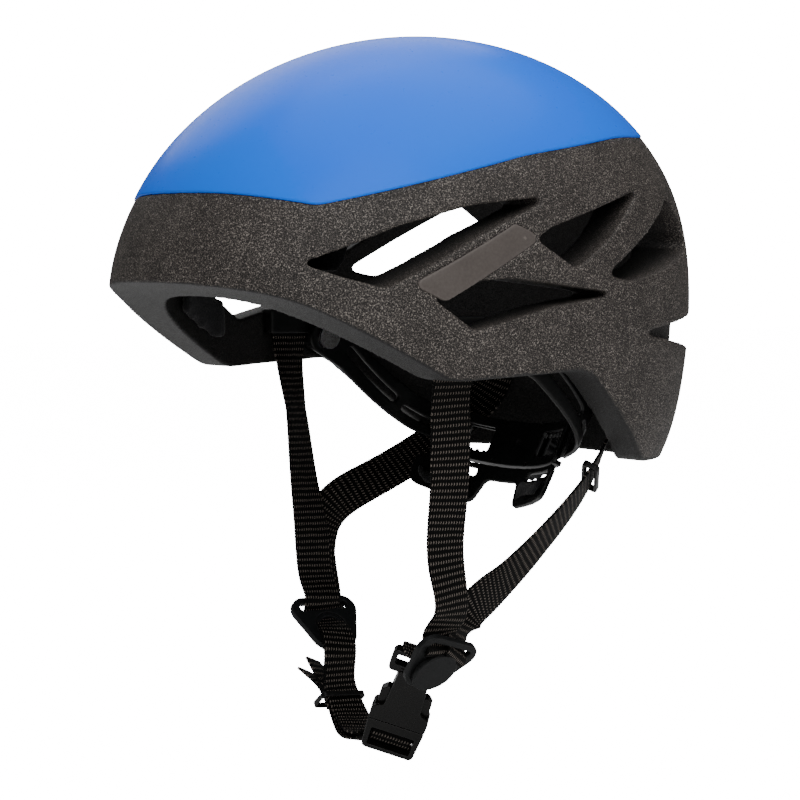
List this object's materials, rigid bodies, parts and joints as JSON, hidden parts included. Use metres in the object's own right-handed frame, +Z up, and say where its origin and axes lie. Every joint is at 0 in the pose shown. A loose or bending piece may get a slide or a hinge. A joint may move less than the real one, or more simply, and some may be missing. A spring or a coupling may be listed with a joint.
{
  "type": "climbing helmet",
  "caption": "Climbing helmet with a foam body and rear groove, a hard crown shell, open side vents, a dial-adjusted headband and a buckled chinstrap.",
  "frame": {"origin": "head reference point: on the middle plane, at the height of the rim over the temples", "axes": "+Z up to the crown, -Y to the brow, +X to the wearer's left"},
  "size_m": [0.226, 0.2702, 0.3317],
  "materials": {
    "foam": "matte",
    "cap": "gloss",
    "badge": "satin",
    "padding": "matte",
    "band_plastic": "satin",
    "buckle_plastic": "gloss",
    "webbing": "matte",
    "steel": "satin"
  },
  "bodies": {
    "helmet": {"foam_body": "foam", "crown_shell": "cap", "badge_plate_left": "badge", "badge_plate_right": "badge", "brow_pad": "padding", "crown_pad": "padding", "side_pad_left": "padding", "side_pad_right": "padding", "strap_anchor_front_left": "band_plastic", "strap_anchor_front_right": "band_plastic", "strap_anchor_rear_left": "band_plastic", "strap_anchor_rear_right": "band_plastic", "pivot_mount_left": "band_plastic", "pivot_mount_right": "band_plastic", "pivot_rivet_left": "band_plastic", "pivot_rivet_right": "band_plastic", "strap_guide_left": "band_plastic", "strap_guide_right": "band_plastic"},
    "headband": {"headband_arm_left": "band_plastic", "headband_arm_right": "band_plastic", "adjuster_base": "band_plastic", "adjuster_cover": "band_plastic", "cover_screws": "steel", "nape_cradle": "band_plastic", "nape_pad_left": "padding", "nape_pad_right": "padding"},
    "dial": {"dial_knob": "band_plastic", "dial_pinion": "band_plastic", "friction_washer": "steel"},
    "band_left": {"rack_left": "band_plastic"},
    "band_right": {"rack_right": "band_plastic"},
    "chinstrap": {"webbing_front_left": "webbing", "webbing_front_right": "webbing", "webbing_rear_left": "webbing", "webbing_rear_right": "webbing", "divider_frame_left": "band_plastic", "divider_frame_right": "band_plastic", "buckle_female": "buckle_plastic", "buckle_loop": "webbing", "lower_strap": "webbing", "strap_tails": "webbing"},
    "button_left": {"clamp_button_left": "buckle_plastic"},
    "button_right": {"clamp_button_right": "buckle_plastic"},
    "plug": {"buckle_male": "buckle_plastic", "male_webbing": "webbing"},
    "prong_outer": {"prong_outer": "buckle_plastic"},
    "prong_inner": {"prong_inner": "buckle_plastic"},
    "keeper": {"strap_keeper": "band_plastic"}
  },
  "joints": [
    {"name": "headband_tilt", "type": "hinge", "parent": "helmet", "child": "headband", "pos_m": [0, 0.01, 0.014], "axis": [1, 0, 0], "range_deg": [0, 25]},
    {"name": "dial_turn", "type": "hinge", "parent": "headband", "child": "dial", "pos_m": [0, 0.07, -0.03716], "axis": [0, 0.8829, -0.4695], "range_deg": [-120, 45]},
    {"name": "band_left_travel", "type": "hinge", "parent": "headband", "child": "band_left", "pos_m": [0, -0.01914, 0.02949], "axis": [0, 0.4695, 0.8829], "range_deg": [-2.2, 5.6]},
    {"name": "band_right_travel", "type": "hinge", "parent": "headband", "child": "band_right", "pos_m": [0, -0.01914, 0.02949], "axis": [0, 0.4695, 0.8829], "range_deg": [-5.6, 2.2]},
    {"name": "chinstrap_swing", "type": "hinge", "parent": "helmet", "child": "chinstrap", "pos_m": [0, -0.0083, 0.004], "axis": [1, 0, 0], "range_deg": [-15, 10], "deforming": ["webbing_front_left", "webbing_front_right", "webbing_rear_left", "webbing_rear_right"]},
    {"name": "plug_release", "type": "slide", "parent": "chinstrap", "child": "plug", "axis": [-0.6105, 0.1001, -0.7857], "range_m": [0, 0.03], "deforming": ["lower_strap"]},
    {"name": "prong_outer_squeeze", "type": "hinge", "parent": "plug", "child": "prong_outer", "pos_m": [0.02585, -0.00937, -0.16199], "axis": [0.586, -0.6103, -0.5331], "range_deg": [0, 8], "stiffness_Nm_per_rad": 0.05},
    {"name": "prong_inner_squeeze", "type": "hinge", "parent": "plug", "child": "prong_inner", "pos_m": [0.01647, -0.0232, -0.15647], "axis": [-0.586, 0.6103, 0.5331], "range_deg": [0, 8], "stiffness_Nm_per_rad": 0.05},
    {"name": "button_left_pull", "type": "slide", "parent": "chinstrap", "child": "button_left", "axis": [0.7686, 0.003, -0.6397], "range_m": [0, 0.006]},
    {"name": "button_right_pull", "type": "slide", "parent": "chinstrap", "child": "button_right", "axis": [-0.7691, 0, -0.6391], "range_m": [0, 0.006]},
    {"name": "keeper_slide", "type": "slide", "parent": "chinstrap", "child": "keeper", "axis": [0.5985, -0.0698, -0.798], "range_m": [-0.003, 0.004]}
  ],
  "couplings": [
    {"joint": "band_left_travel", "follows": "dial_turn", "ratio": -0.04562},
    {"joint": "band_right_travel", "follows": "dial_turn", "ratio": 0.04492},
    {"joint": "prong_inner_squeeze", "follows": "prong_outer_squeeze", "ratio": 1}
  ]
}
